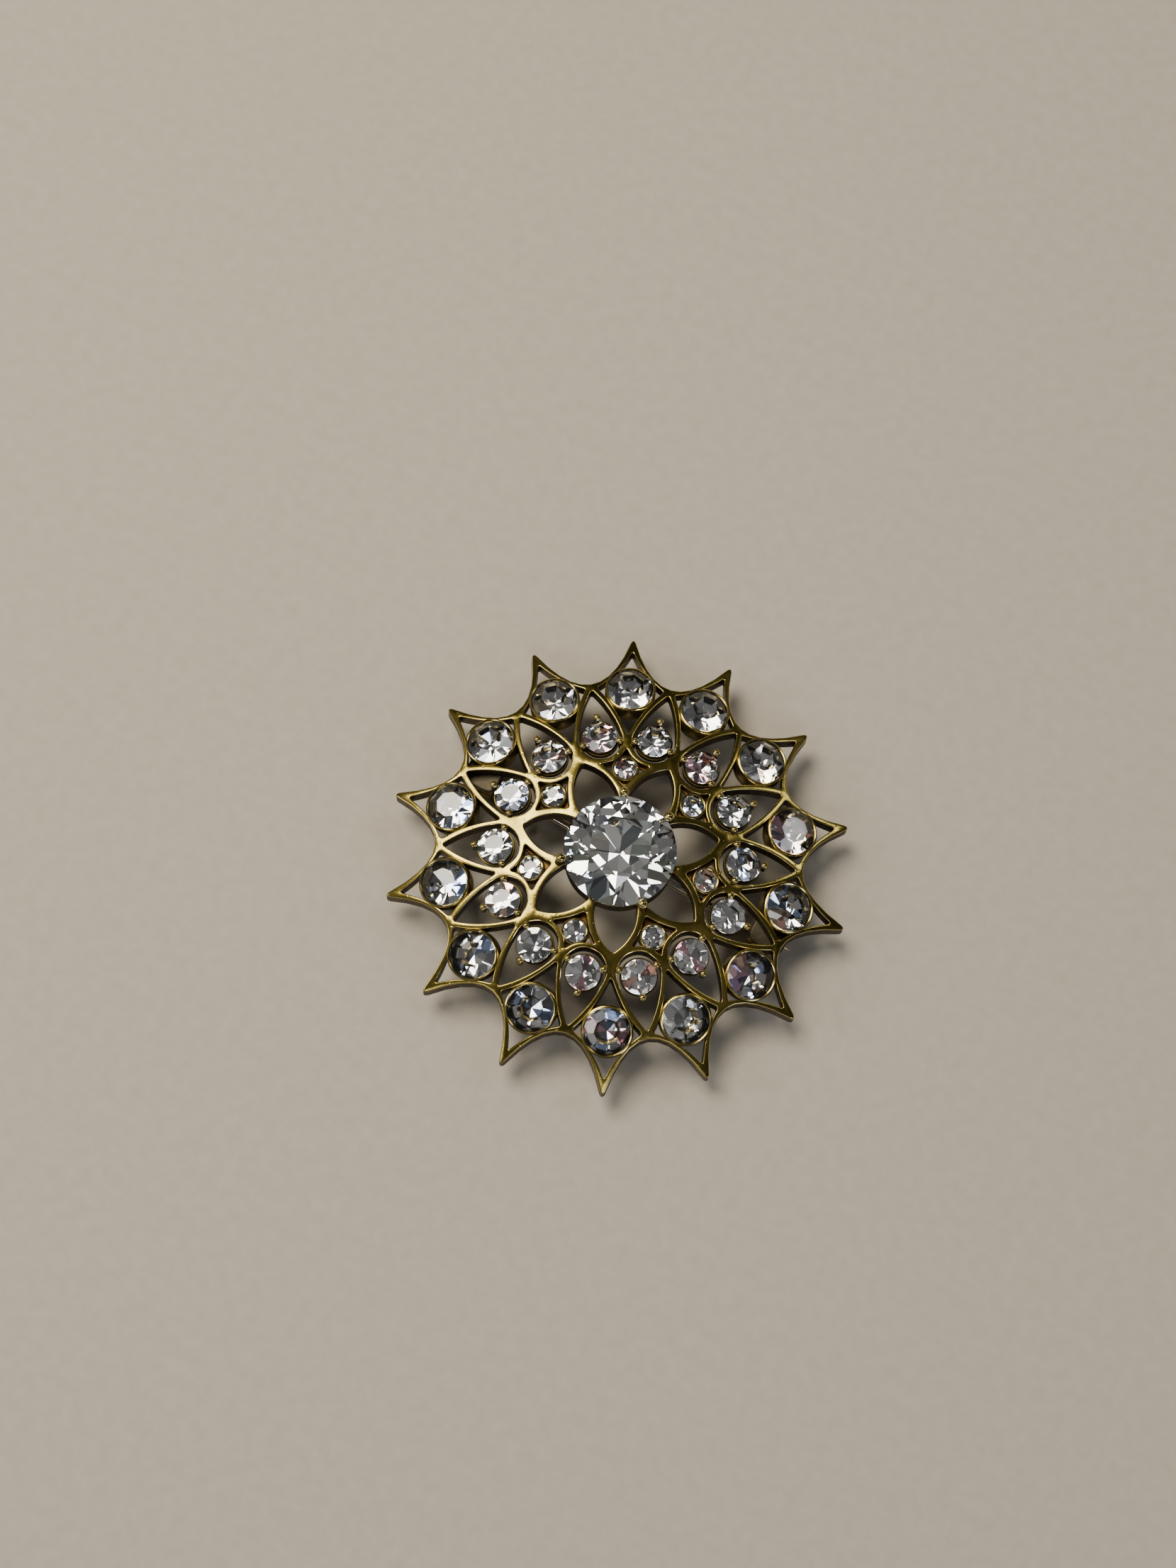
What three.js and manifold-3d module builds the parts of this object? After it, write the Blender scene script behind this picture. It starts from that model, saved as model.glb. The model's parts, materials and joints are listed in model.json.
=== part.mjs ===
// An openwork brooch: a domed, cast star set with thirty-six clear stones, and on its back a hinged pin with
// a rotating safety catch. Lengths are millimetres. +X runs along the pin from its hinge to the catch, +Y is
// up as the brooch is worn, +Z points out of its front, and z = 0 is the lowest face of the findings.
import * as THREE from "three";
import { mergeVertices } from "three/addons/utils/BufferGeometryUtils.js";
import Module from "manifold-3d";

const wasm = await Module();
wasm.setup();

// The star, seen from the front
const TIPS = 14;
const STEP = (2 * Math.PI) / TIPS;
const HALF_STEP = STEP / 2;
const TOP = Math.PI / 2;
const TIP_RADIUS = 21;
const TIP_ROUND = 0.24;
const NOTCH_RADIUS = 16.48;
const SEAT_HOLE_RADIUS = 4.45;
const SEAT_RING_RADIUS = 4.9;

// Its dome: the top face is part of a sphere
const FRAME_THICKNESS = 1.6;
const DOME_RADIUS = 68;
const GIRDLE_Z = 7.9;
const DOME_TOP = GIRDLE_Z - 0.55;
const WEB_THICKNESS = 0.4;
const WEB_LIFT = 0.1;

// The stones: girdle radius, depth under the girdle, distance from the brooch's axis, and the girdle's
// height over the dome's top face
const CENTRE_STONE = { radius: 5, sides: 16, pavilion: 4.3 };
const OUTER_STONE = { radius: 2.05, sides: 10, pavilion: 1.52, ring: 15.75, rise: 0.1 };
const MEDIUM_STONE = { radius: 1.55, sides: 8, pavilion: 1.35, ring: 11.1, rise: -0.2 };
const SMALL_STONE = { radius: 0.98, sides: 8, pavilion: 0.85, ring: 8, rise: -0.45 };
const GIRDLE_SHARE = 0.02;
const CROWN_SHARE = 0.3;
const TABLE_SHARE = 0.57;

// Their settings
const CUP_CLEARANCE = 0.07;
const CUP_WALL = 0.2;
const CUP_RIM = 0.06;
const OUTER_CUP_DEPTH = 1.68;
const OUTER_CUP_FLOOR = 1.58;
const SMALL_CUP_DEPTH = 0.75;
const SMALL_BORE_RADIUS = 0.62;
const COLLAR = { bore: 1.12, outer: 1.9, top: -0.55, foot: -0.95 };
const PETAL_CLAW = { distance: 1.9, foot: -0.95, neck: -0.1, head: 0.34, headRadius: 0.32, postRadius: 0.25 };
const CENTRE_CLAW = { distance: 5.5, foot: -1.2, neck: 0.2, head: 0.5, headRadius: 0.46, postRadius: 0.36 };
const PETAL_CLAW_TURNS = [0, 116, -116].map(THREE.MathUtils.degToRad);
const CENTRE_CLAW_TIPS = [1, 5, 9, 13];

// The findings: a pin hinged at one side and caught at the other
const PIN_Y = 1;
const PIN_Z = 1.9;
const PIN_RADIUS = 0.4;
const HINGE_X = -14.6;
const HINGE_HALF_LENGTH = 1.5;
const HINGE_FOOT_HALF_LENGTH = 0.9;
const HINGE_SHOULDER = 0.9;
const CATCH_X = 15;
const PIN_END_X = 17.4;
const PIN_TAPER = 6;
const SOLDER_GAP = 0.08;
const EAR_GAP = 1;
const EAR_WIDTH = 0.8;
const EYE_RADIUS = 0.95;
const RIVET_RADIUS = 0.34;
const RIVET_HEAD_RADIUS = 0.62;
const RIVET_HEAD_HEIGHT = 0.25;
const RUNNING_GAP = 0.07;
const CATCH_OUTER = 1.9;
const CATCH_BORE = 1.25;
const CATCH_LENGTH = 1.8;
const CATCH_HALF_SLOT = 0.7;
const ROTOR_BORE = 0.55;
const ROTOR_CLEARANCE = 0.1;
const ROTOR_HALF_SLOT = 0.5;
const FLANGE_RADIUS = 1.7;
const FLANGE_THICKNESS = 0.5;
const TAB_REACH = 2.6;

const GOLD = new THREE.Color("#a8935a");
const DARK_GOLD = new THREE.Color("#6f6040");
const STEEL = new THREE.Color("#b5ab92");
const CRYSTAL = new THREE.Color("#dfe4ea");

function material(color, roughness, metalness) {
  return new THREE.MeshStandardMaterial({ color, roughness, metalness });
}

// Height of the frame's top face over the plan point x, y.
function domeHeight(x, y) {
  const drop = DOME_RADIUS - Math.sqrt(DOME_RADIUS ** 2 - x ** 2 - y ** 2);
  return DOME_TOP - drop;
}

// Joins and cuts: a geometry as a solid, and a solid as a geometry.
function solid(geometry) {
  const bare = geometry.clone();
  bare.deleteAttribute("normal");
  bare.deleteAttribute("uv");
  const merged = mergeVertices(bare, 1e-4);
  const vertProperties = new Float32Array(merged.attributes.position.array);
  const triVerts = new Uint32Array(merged.index.array);
  return new wasm.Manifold(new wasm.Mesh({ numProp: 3, vertProperties, triVerts }));
}

function geometryOf(made) {
  const mesh = made.getMesh();
  const geometry = new THREE.BufferGeometry();
  geometry.setAttribute("position", new THREE.BufferAttribute(mesh.vertProperties, 3));
  geometry.setIndex(new THREE.BufferAttribute(mesh.triVerts, 1));
  geometry.computeVertexNormals();
  return geometry;
}

// A turned body about +Z from [radius, height] pairs.
function turned(profile, sides) {
  const points = profile.map(([r, z]) => new THREE.Vector2(r, z));
  return new THREE.LatheGeometry(points, sides).rotateX(Math.PI / 2);
}

// Openings and outlines are drawn along the radial axis, x away from the brooch's centre, then swung
// into place.
function swung(path, divisions, angle) {
  const centre = new THREE.Vector2();
  return path.getPoints(divisions).map((p) => p.clone().rotateAround(centre, angle));
}

function starOutline() {
  const flank = TIP_RADIUS - TIP_ROUND;
  const flankHeight = flank * Math.cos(HALF_STEP) + TIP_ROUND * Math.sin(HALF_STEP);
  const scallopControl = 2 * NOTCH_RADIUS - flankHeight;
  const tip = new THREE.Path();
  tip.moveTo(flank, -TIP_ROUND);
  tip.lineTo(TIP_RADIUS, 0);
  tip.lineTo(flank, TIP_ROUND);
  const next = new THREE.Vector2(flank, -TIP_ROUND).rotateAround(new THREE.Vector2(), STEP);
  tip.quadraticCurveTo(
    scallopControl * Math.cos(HALF_STEP),
    scallopControl * Math.sin(HALF_STEP),
    next.x,
    next.y,
  );
  const points = [];
  for (let i = 0; i < TIPS; i++) points.push(...swung(tip, 6, TOP + i * STEP).slice(0, -1));
  return new THREE.Shape(points);
}

// The kite between a star tip's two edges and the two petals below it; an outer stone's cup fills its middle.
function outerCell() {
  const path = new THREE.Path();
  path.moveTo(11, 0);
  path.quadraticCurveTo(14.24, 1.32, 15.75, 3.1);
  path.quadraticCurveTo(17.05, 1.2, 19.85, 0);
  path.quadraticCurveTo(17.05, -1.2, 15.75, -3.1);
  path.quadraticCurveTo(14.24, -1.32, 11, 0);
  return path;
}

// The teardrop that surrounds a medium stone: round at its foot and pointed at the notch between two tips.
function petalOpening() {
  const centre = 10.9;
  const radius = 1.98;
  const end = THREE.MathUtils.degToRad(80);
  const path = new THREE.Path();
  path.absarc(centre, 0, radius, end, -end, false);
  path.quadraticCurveTo(13.78, -1.5, 15.87, 0);
  path.quadraticCurveTo(13.78, 1.5, centre + radius * Math.cos(end), radius * Math.sin(end));
  return path;
}

// The small kite between two petals' feet and two inner petals; size 1 is the opening, and a size over 1
// is its web's outline.
function kiteOpening(size) {
  const centre = 8.1;
  const place = (x, y) => [centre + (x - centre) * size, y * size];
  const path = new THREE.Path();
  path.moveTo(...place(9.95, 0));
  path.quadraticCurveTo(...place(8.55, -0.45), ...place(8.19, -2.25));
  path.quadraticCurveTo(...place(7.72, -1.35), ...place(6.1, 0));
  path.quadraticCurveTo(...place(7.72, 1.35), ...place(8.19, 2.25));
  path.quadraticCurveTo(...place(8.55, 0.45), ...place(9.95, 0));
  return path;
}

// A petal opening beside the centre stone, closed at its foot by the ring that the stone sits on.
function innerPetalOpening() {
  const halfAngle = THREE.MathUtils.degToRad(22.3);
  const path = new THREE.Path();
  path.absarc(0, 0, SEAT_RING_RADIUS, -halfAngle, halfAngle, false);
  path.quadraticCurveTo(7.33, 2.23, 8.99, 0);
  path.quadraticCurveTo(
    7.33,
    -2.23,
    SEAT_RING_RADIUS * Math.cos(halfAngle),
    -SEAT_RING_RADIUS * Math.sin(halfAngle),
  );
  return path;
}

// Without its repeated last point, a closed run of points is a hole or an outline.
function closed(points) {
  return points.slice(0, -1);
}

function flatPlate() {
  const shape = starOutline();
  const hole = (path, divisions, angle) => {
    shape.holes.push(new THREE.Path(closed(swung(path, divisions, angle))));
  };
  const seat = new THREE.Path().absarc(0, 0, SEAT_HOLE_RADIUS, 0, 2 * Math.PI, false);
  hole(seat, 14, 0);
  for (let i = 0; i < TIPS; i++) {
    const angle = TOP + i * STEP;
    hole(outerCell(), 3, angle);
    hole(petalOpening(), 3, angle + HALF_STEP);
    if (i % 2) hole(kiteOpening(1), 3, angle);
    else hole(innerPetalOpening(), 3, angle);
  }
  const plate = new THREE.ExtrudeGeometry(shape, {
    depth: FRAME_THICKNESS,
    bevelEnabled: false,
  });
  return solid(plate.translate(0, 0, -FRAME_THICKNESS));
}

// The thin floor of each small kite, with the bore that the small stone's point drops into.
function flatWebs() {
  const webs = [];
  for (let i = 1; i < TIPS; i += 2) {
    const shape = new THREE.Shape(closed(swung(kiteOpening(1.1), 3, TOP + i * STEP)));
    const bore = new THREE.Path().absarc(SMALL_STONE.ring, 0, SMALL_BORE_RADIUS, 0, 2 * Math.PI, false);
    shape.holes.push(new THREE.Path(closed(swung(bore, 4, TOP + i * STEP))));
    const web = new THREE.ExtrudeGeometry(shape, { depth: WEB_THICKNESS, bevelEnabled: false });
    webs.push(solid(web.translate(0, 0, WEB_LIFT - FRAME_THICKNESS)));
  }
  return webs;
}

function domed(geometry) {
  const position = geometry.attributes.position;
  for (let i = 0; i < position.count; i++) {
    const rise = domeHeight(position.getX(i), position.getY(i));
    position.setZ(i, position.getZ(i) + rise);
  }
  return geometry;
}

// Where a stone of a ring sits: its girdle's centre, tilted square to the dome.
function setting(stone, angle) {
  const x = stone.ring * Math.cos(angle);
  const y = stone.ring * Math.sin(angle);
  const tilt = Math.asin(stone.ring / DOME_RADIUS);
  return new THREE.Matrix4()
    .makeTranslation(x, y, domeHeight(x, y) + stone.rise)
    .multiply(new THREE.Matrix4().makeRotationZ(angle))
    .multiply(new THREE.Matrix4().makeRotationY(tilt));
}

// A closed-back cup whose rim stands just over the girdle; its bore narrows under the stone.
function outerCup() {
  const bore = OUTER_STONE.radius + CUP_CLEARANCE;
  const outer = bore + CUP_WALL;
  return turned(
    [
      [0, -OUTER_CUP_DEPTH],
      [outer, -OUTER_CUP_DEPTH],
      [outer, CUP_RIM],
      [bore, CUP_RIM],
      [bore, -0.1],
      [bore * 0.3, -OUTER_CUP_FLOOR],
      [0, -OUTER_CUP_FLOOR],
    ],
    OUTER_STONE.sides,
  );
}

// A short tube around a small stone, which stands on the web.
function smallCup() {
  const bore = SMALL_STONE.radius + CUP_CLEARANCE;
  const outer = bore + CUP_WALL;
  return turned(
    [
      [bore, -SMALL_CUP_DEPTH],
      [outer, -SMALL_CUP_DEPTH],
      [outer, CUP_RIM],
      [bore, CUP_RIM],
      [bore, -SMALL_CUP_DEPTH],
    ],
    SMALL_STONE.sides,
  );
}

// The thin collar under a medium stone, which its three claws stand on.
function collar(stone) {
  return turned(
    [
      [COLLAR.bore, COLLAR.foot],
      [COLLAR.outer, COLLAR.foot],
      [COLLAR.outer, COLLAR.top],
      [COLLAR.bore, COLLAR.top],
      [COLLAR.bore, COLLAR.foot],
    ],
    stone.sides,
  );
}

// A claw: a post with a rounded head that leans on the stone's crown from beside the girdle.
function claw({ distance, foot, neck, head, headRadius, postRadius }, turn) {
  const geometry = turned(
    [
      [0, foot],
      [postRadius, foot],
      [postRadius, neck],
      [headRadius, head],
      [headRadius * 0.5, head + headRadius],
      [0, head + headRadius],
    ],
    5,
  );
  return geometry.translate(distance * Math.cos(turn), distance * Math.sin(turn), 0);
}

function petalClaws() {
  return PETAL_CLAW_TURNS.map((turn) => claw(PETAL_CLAW, turn));
}

function centreClaw(angle) {
  return claw(CENTRE_CLAW, angle).translate(0, 0, GIRDLE_Z);
}

function openworkFrame() {
  const flat = flatWebs().reduce((whole, web) => whole.add(web), flatPlate());
  let frame = solid(domed(geometryOf(flat)));
  const join = (geometry) => {
    frame = frame.add(solid(geometry));
  };
  for (let i = 0; i < TIPS; i++) {
    const tip = TOP + i * STEP;
    const notch = tip + HALF_STEP;
    join(outerCup().applyMatrix4(setting(OUTER_STONE, tip)));
    join(collar(MEDIUM_STONE).applyMatrix4(setting(MEDIUM_STONE, notch)));
    petalClaws().forEach((made) => join(made.applyMatrix4(setting(MEDIUM_STONE, notch))));
    if (i % 2) join(smallCup().applyMatrix4(setting(SMALL_STONE, tip)));
  }
  CENTRE_CLAW_TIPS.forEach((i) => join(centreClaw(TOP + i * STEP)));
  return new THREE.Mesh(geometryOf(frame), material(GOLD, 0.35, 1));
}

// A faceted stone about its girdle's centre: flat table, crown, narrow girdle and pointed pavilion.
function stone({ radius, sides, pavilion }) {
  const girdle = radius * GIRDLE_SHARE;
  const geometry = turned(
    [
      [0, -pavilion],
      [radius, -girdle],
      [radius, girdle],
      [radius * TABLE_SHARE, radius * CROWN_SHARE],
      [0, radius * CROWN_SHARE],
    ],
    sides,
  );
  return new THREE.Mesh(geometry, material(CRYSTAL, 0.05, 0));
}

function placedStone(kind, angle, name) {
  const mesh = stone(kind);
  mesh.name = name;
  mesh.applyMatrix4(setting(kind, angle));
  return mesh;
}

function stones() {
  const group = new THREE.Group();
  const centre = stone(CENTRE_STONE);
  centre.name = "centre_stone";
  centre.position.z = GIRDLE_Z;
  group.add(centre);
  const numbered = (word, i) => word + "_" + String(i + 1).padStart(2, "0");
  for (let i = 0; i < TIPS; i++) {
    const tip = TOP - i * STEP;
    group.add(placedStone(OUTER_STONE, tip, numbered("outer_stone", i)));
    group.add(placedStone(MEDIUM_STONE, tip - HALF_STEP, numbered("medium_stone", i)));
    if (i % 2) group.add(placedStone(SMALL_STONE, tip, numbered("small_stone", (i - 1) / 2)));
  }
  return group;
}

// Findings are drawn in the plane of the pin, x along it and y up, then given their width across it.
function acrossPin(shape, from, to, curveSegments = 5) {
  const geometry = new THREE.ExtrudeGeometry(shape, {
    depth: to - from,
    bevelEnabled: false,
    curveSegments,
  });
  return geometry.rotateX(Math.PI / 2).translate(0, to, 0);
}

// The underside of the frame along the pin's line, less the solder that joins a finding to it.
function solderHeight(x) {
  return domeHeight(x, PIN_Y) - FRAME_THICKNESS - SOLDER_GAP;
}

// A cheek of the hinge: a plate that hangs from the pad and ends in a flat foot below the rivet.
function cheekShape() {
  const half = HINGE_HALF_LENGTH;
  const waist = half - 0.2;
  const neck = solderHeight(HINGE_X) - HINGE_SHOULDER;
  const shape = new THREE.Shape();
  shape.moveTo(HINGE_X - HINGE_FOOT_HALF_LENGTH, 0);
  shape.lineTo(HINGE_X + HINGE_FOOT_HALF_LENGTH, 0);
  shape.lineTo(HINGE_X + waist, HINGE_SHOULDER);
  shape.lineTo(HINGE_X + half, neck);
  shape.lineTo(HINGE_X + half, solderTop(HINGE_X, half));
  shape.lineTo(HINGE_X - half, solderTop(HINGE_X, -half));
  shape.lineTo(HINGE_X - half, neck);
  shape.lineTo(HINGE_X - waist, HINGE_SHOULDER);
  shape.closePath();
  const boreRadius = RIVET_RADIUS + 0.05;
  shape.holes.push(new THREE.Path().absarc(HINGE_X, PIN_Z, boreRadius, 0, 2 * Math.PI, false));
  return shape;
}

// A finding's pad lies on the plane that touches the dome's underside above its middle.
function solderTop(x, offset) {
  const slope = -x / Math.sqrt(DOME_RADIUS ** 2 - x ** 2);
  return solderHeight(x) + slope * offset;
}

function padShape(x, halfLength, thickness) {
  const shape = new THREE.Shape();
  shape.moveTo(x - halfLength, solderTop(x, -halfLength) - thickness);
  shape.lineTo(x + halfLength, solderTop(x, halfLength) - thickness);
  shape.lineTo(x + halfLength, solderTop(x, halfLength));
  shape.lineTo(x - halfLength, solderTop(x, -halfLength));
  shape.closePath();
  return shape;
}

function hingeBracket() {
  const inner = EAR_GAP / 2;
  const outer = inner + EAR_WIDTH;
  const cheek = cheekShape();
  const near = solid(acrossPin(cheek, PIN_Y - outer, PIN_Y - inner));
  const far = solid(acrossPin(cheek, PIN_Y + inner, PIN_Y + outer));
  const pad = solid(acrossPin(padShape(HINGE_X, HINGE_HALF_LENGTH, 0.6), PIN_Y - outer, PIN_Y + outer));
  return new THREE.Mesh(geometryOf(pad.add(near).add(far)), material(DARK_GOLD, 0.45, 1));
}

function hingeRivet() {
  const reach = EAR_GAP / 2 + EAR_WIDTH + 0.03;
  const end = reach + RIVET_HEAD_HEIGHT;
  const crown = RIVET_HEAD_RADIUS * 0.65;
  const geometry = turned(
    [
      [0, -end],
      [crown, -end],
      [RIVET_HEAD_RADIUS, -reach],
      [RIVET_RADIUS, -reach],
      [RIVET_RADIUS, reach],
      [RIVET_HEAD_RADIUS, reach],
      [crown, end],
      [0, end],
    ],
    10,
  );
  const mesh = new THREE.Mesh(geometry, material(STEEL, 0.3, 1));
  mesh.rotation.x = Math.PI / 2;
  mesh.position.set(HINGE_X, PIN_Y, PIN_Z);
  return mesh;
}

// The pin: a flat eye on the rivet, and a round wire that tapers to a point beyond the catch.
function pinStem() {
  const halfThickness = EAR_GAP / 2 - 0.1;
  const eyeShape = new THREE.Shape().absarc(HINGE_X, PIN_Z, EYE_RADIUS, 0, 2 * Math.PI, false);
  const boreRadius = RIVET_RADIUS + RUNNING_GAP;
  eyeShape.holes.push(new THREE.Path().absarc(HINGE_X, PIN_Z, boreRadius, 0, 2 * Math.PI, false));
  const eye = solid(acrossPin(eyeShape, PIN_Y - halfThickness, PIN_Y + halfThickness, 8));
  const start = HINGE_X + 0.7;
  const wire = turned(
    [
      [0, start],
      [PIN_RADIUS, start],
      [PIN_RADIUS, PIN_END_X - PIN_TAPER],
      [PIN_RADIUS * 0.7, PIN_END_X - PIN_TAPER / 3],
      [0, PIN_END_X],
    ],
    10,
  );
  wire.rotateY(Math.PI / 2).translate(0, PIN_Y, PIN_Z);
  return new THREE.Mesh(geometryOf(eye.add(solid(wire))), material(STEEL, 0.25, 1));
}

// A split ring about the pin's line, open below, between the angles that its slot leaves.
function splitRing(outer, bore, halfSlot) {
  const shape = new THREE.Shape();
  const outerEdge = Math.asin(halfSlot / outer);
  const boreEdge = Math.asin(halfSlot / bore);
  const down = -Math.PI / 2;
  shape.absarc(0, 0, outer, down + outerEdge, down - outerEdge + 2 * Math.PI, false);
  shape.absarc(0, 0, bore, down - boreEdge + 2 * Math.PI, down + boreEdge, true);
  shape.closePath();
  return shape;
}

function alongPin(shape, from, to, curveSegments) {
  const geometry = new THREE.ExtrudeGeometry(shape, {
    depth: to - from,
    bevelEnabled: false,
    curveSegments,
  });
  geometry.rotateX(Math.PI / 2).rotateZ(Math.PI / 2);
  return geometry.translate(from, PIN_Y, PIN_Z);
}

// The catch's housing: a split ring under a soldered pad.
function catchBody() {
  const half = CATCH_LENGTH / 2;
  const section = splitRing(CATCH_OUTER, CATCH_BORE, CATCH_HALF_SLOT);
  const ring = solid(alongPin(section, CATCH_X - half, CATCH_X + half, 14));
  const pad = solid(acrossPin(padShape(CATCH_X, 1.5, 0.5), PIN_Y - 1.3, PIN_Y + 1.3));
  return new THREE.Mesh(geometryOf(ring.add(pad)), material(DARK_GOLD, 0.45, 1));
}

// The rotor: a slotted sleeve that turns in the housing, with a flange and a finger tab outside it.
function catchRotor() {
  const half = CATCH_LENGTH / 2;
  const flangeEnd = CATCH_X - half - 0.15;
  const flangeStart = flangeEnd - FLANGE_THICKNESS;
  const sleeveSection = splitRing(CATCH_BORE - ROTOR_CLEARANCE, ROTOR_BORE, ROTOR_HALF_SLOT);
  const flangeSection = splitRing(FLANGE_RADIUS, ROTOR_BORE, ROTOR_HALF_SLOT);
  const tabSection = new THREE.Shape();
  const tabRoot = FLANGE_RADIUS - 0.3;
  tabSection.moveTo(-TAB_REACH, -0.35);
  tabSection.lineTo(-tabRoot, -0.45);
  tabSection.lineTo(-tabRoot, 0.45);
  tabSection.lineTo(-TAB_REACH, 0.35);
  tabSection.closePath();
  const sleeve = solid(alongPin(sleeveSection, flangeEnd - 0.3, CATCH_X + half + 0.2, 12));
  const flange = solid(alongPin(flangeSection, flangeStart, flangeEnd, 12));
  const tab = solid(alongPin(tabSection, flangeStart, flangeEnd, 1));
  return new THREE.Mesh(geometryOf(sleeve.add(flange).add(tab)), material(STEEL, 0.35, 1));
}

function named(name, mesh) {
  mesh.name = name;
  return mesh;
}

const brooch = new THREE.Group();
brooch.add(named("openwork_frame", openworkFrame()));
brooch.add(stones());
brooch.add(named("hinge_bracket", hingeBracket()));
brooch.add(named("hinge_rivet", hingeRivet()));
brooch.add(named("pin_stem", pinStem()));
brooch.add(named("catch_body", catchBody()));
brooch.add(named("catch_rotor", catchRotor()));

export default brooch;
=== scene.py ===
import json
import math
import random

import bmesh
import bpy
from mathutils import Matrix, Vector


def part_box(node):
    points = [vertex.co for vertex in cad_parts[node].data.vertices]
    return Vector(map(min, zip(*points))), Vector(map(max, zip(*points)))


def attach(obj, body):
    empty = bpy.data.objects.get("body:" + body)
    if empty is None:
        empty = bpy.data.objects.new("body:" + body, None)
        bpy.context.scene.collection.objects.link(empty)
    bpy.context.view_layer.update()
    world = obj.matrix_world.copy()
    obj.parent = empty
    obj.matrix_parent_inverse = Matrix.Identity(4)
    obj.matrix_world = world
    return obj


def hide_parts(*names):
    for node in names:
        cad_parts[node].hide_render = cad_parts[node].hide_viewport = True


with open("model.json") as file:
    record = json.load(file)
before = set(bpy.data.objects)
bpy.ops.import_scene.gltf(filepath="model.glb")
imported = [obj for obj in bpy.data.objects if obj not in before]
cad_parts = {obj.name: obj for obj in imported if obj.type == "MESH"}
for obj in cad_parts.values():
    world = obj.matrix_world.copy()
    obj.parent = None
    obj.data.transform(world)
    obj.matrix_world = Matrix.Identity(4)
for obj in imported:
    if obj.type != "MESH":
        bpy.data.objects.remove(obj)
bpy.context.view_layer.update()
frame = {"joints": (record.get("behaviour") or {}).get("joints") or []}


# The ribs. The brooch is one casting in white metal: a domed star of narrow ribs, rounded on top by
# tumbling, with walls that widen a little towards the back so that the wax leaves its mould. It is gold
# plated, darkened with a patina, and buffed back on its high places. Its material also paints shade on the
# rib walls and a highlight along the rounded edges.
MM = 0.001
TIPS = 14
STEP = 2 * math.pi / TIPS
TOP = math.pi / 2
CENTRE_RADIUS = (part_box("centre_stone")[1].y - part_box("centre_stone")[0].y) / 2 / MM
CENTRE_CROWN_HEIGHT = 0.3 * CENTRE_RADIUS
GIRDLE_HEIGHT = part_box("centre_stone")[1].z / MM - CENTRE_CROWN_HEIGHT
GIRDLE_ABOVE_DOME = 0.55
DOME_RADIUS = 68
DOME_TOP = GIRDLE_HEIGHT - GIRDLE_ABOVE_DOME
RIB_DEPTH = 1.6
RIB_DRAFT = 0.05
RIB_ROUNDING = 0.1
SEAT_HOLE_RADIUS = 4.45
SIDE_STEPS = 10
CORNER_STEPS = 5


def dome_height(x, y):
    return DOME_TOP - DOME_RADIUS + math.sqrt(DOME_RADIUS**2 - x * x - y * y)


def bent(start, control, end, first=0, last=1, steps=SIDE_STEPS):
    """Points of a quadratic curve from one share of it to another."""
    shares = [first + (last - first) * i / steps for i in range(steps + 1)]
    return [start * (1 - t) ** 2 + control * 2 * t * (1 - t) + end * t * t for t in shares]


def rounded_outline(corners):
    """A closed, counterclockwise outline. A corner is its place, how much of each side its rounding takes,
    and the point that bends the side after it."""
    places = [Vector(place) for place, cut, control in corners]
    controls = [Vector(control) for place, cut, control in corners]
    sides = []
    for i, (place, cut, control) in enumerate(corners):
        following = (i + 1) % len(corners)
        first = cut / 2 / (controls[i] - places[i]).length
        last = 1 - corners[following][1] / 2 / (places[following] - controls[i]).length
        sides.append(bent(places[i], controls[i], places[following], first, last))
    points = []
    for i, side in enumerate(sides):
        following = (i + 1) % len(corners)
        points += side[:-1]
        if corners[following][1]:
            points += bent(side[-1], places[following], sides[following][0], steps=CORNER_STEPS)[:-1]
    return points


def arc(centre, radius, start, end, pieces):
    """An arc about a point on the first axis, as corners of an outline that need no rounding."""
    turn = (end - start) / pieces
    reach = radius / math.cos(turn / 2)
    angles = [start + turn * i for i in range(pieces)]
    return [
        (
            (centre + radius * math.cos(a), radius * math.sin(a)),
            0,
            (centre + reach * math.cos(a + turn / 2), reach * math.sin(a + turn / 2)),
        )
        for a in angles
    ]


def star_tip():
    """One tip and the scallop after it. The scallop is deepest at the notch between two tips."""
    flank = 20.76
    half_width = 0.24
    tip_reach = 21.24
    notch_radius = 16.48
    flank_height = flank * math.cos(STEP / 2) + half_width * math.sin(STEP / 2)
    scallop = 2 * notch_radius - flank_height
    return [
        ((flank, -half_width), 0, (tip_reach, 0)),
        ((flank, half_width), 0, (scallop * math.cos(STEP / 2), scallop * math.sin(STEP / 2))),
    ]


def outer_cell():
    return rounded_outline(
        [
            ((11, 0), 0.45, (14.24, -1.32)),
            ((15.75, -3.1), 0.35, (17.05, -1.2)),
            ((19.85, 0), 0.4, (17.05, 1.2)),
            ((15.75, 3.1), 0.35, (14.24, 1.32)),
        ]
    )


def petal():
    foot_centre = 10.9
    foot_radius = 1.98
    foot_angle = math.radians(80)
    foot = arc(foot_centre, foot_radius, foot_angle, 2 * math.pi - foot_angle, pieces=4)
    x, y = foot[0][0]
    return rounded_outline(foot + [((x, -y), 0, (13.78, -1.5)), ((15.87, 0), 0.3, (13.78, 1.5))])


def kite(size=1):
    """A small kite's outline, at its own size or grown about its middle."""
    middle = 8.1
    corners = [
        ((9.95, 0), 0.42, (8.55, 0.45)),
        ((8.19, 2.25), 0.38, (7.72, 1.35)),
        ((6.1, 0), 0.22, (7.72, -1.35)),
        ((8.19, -2.25), 0.38, (8.55, -0.45)),
    ]
    sized = [
        ((middle + (x - middle) * size, y * size), cut, (middle + (cx - middle) * size, cy * size))
        for (x, y), cut, (cx, cy) in corners
    ]
    return rounded_outline(sized)


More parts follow.
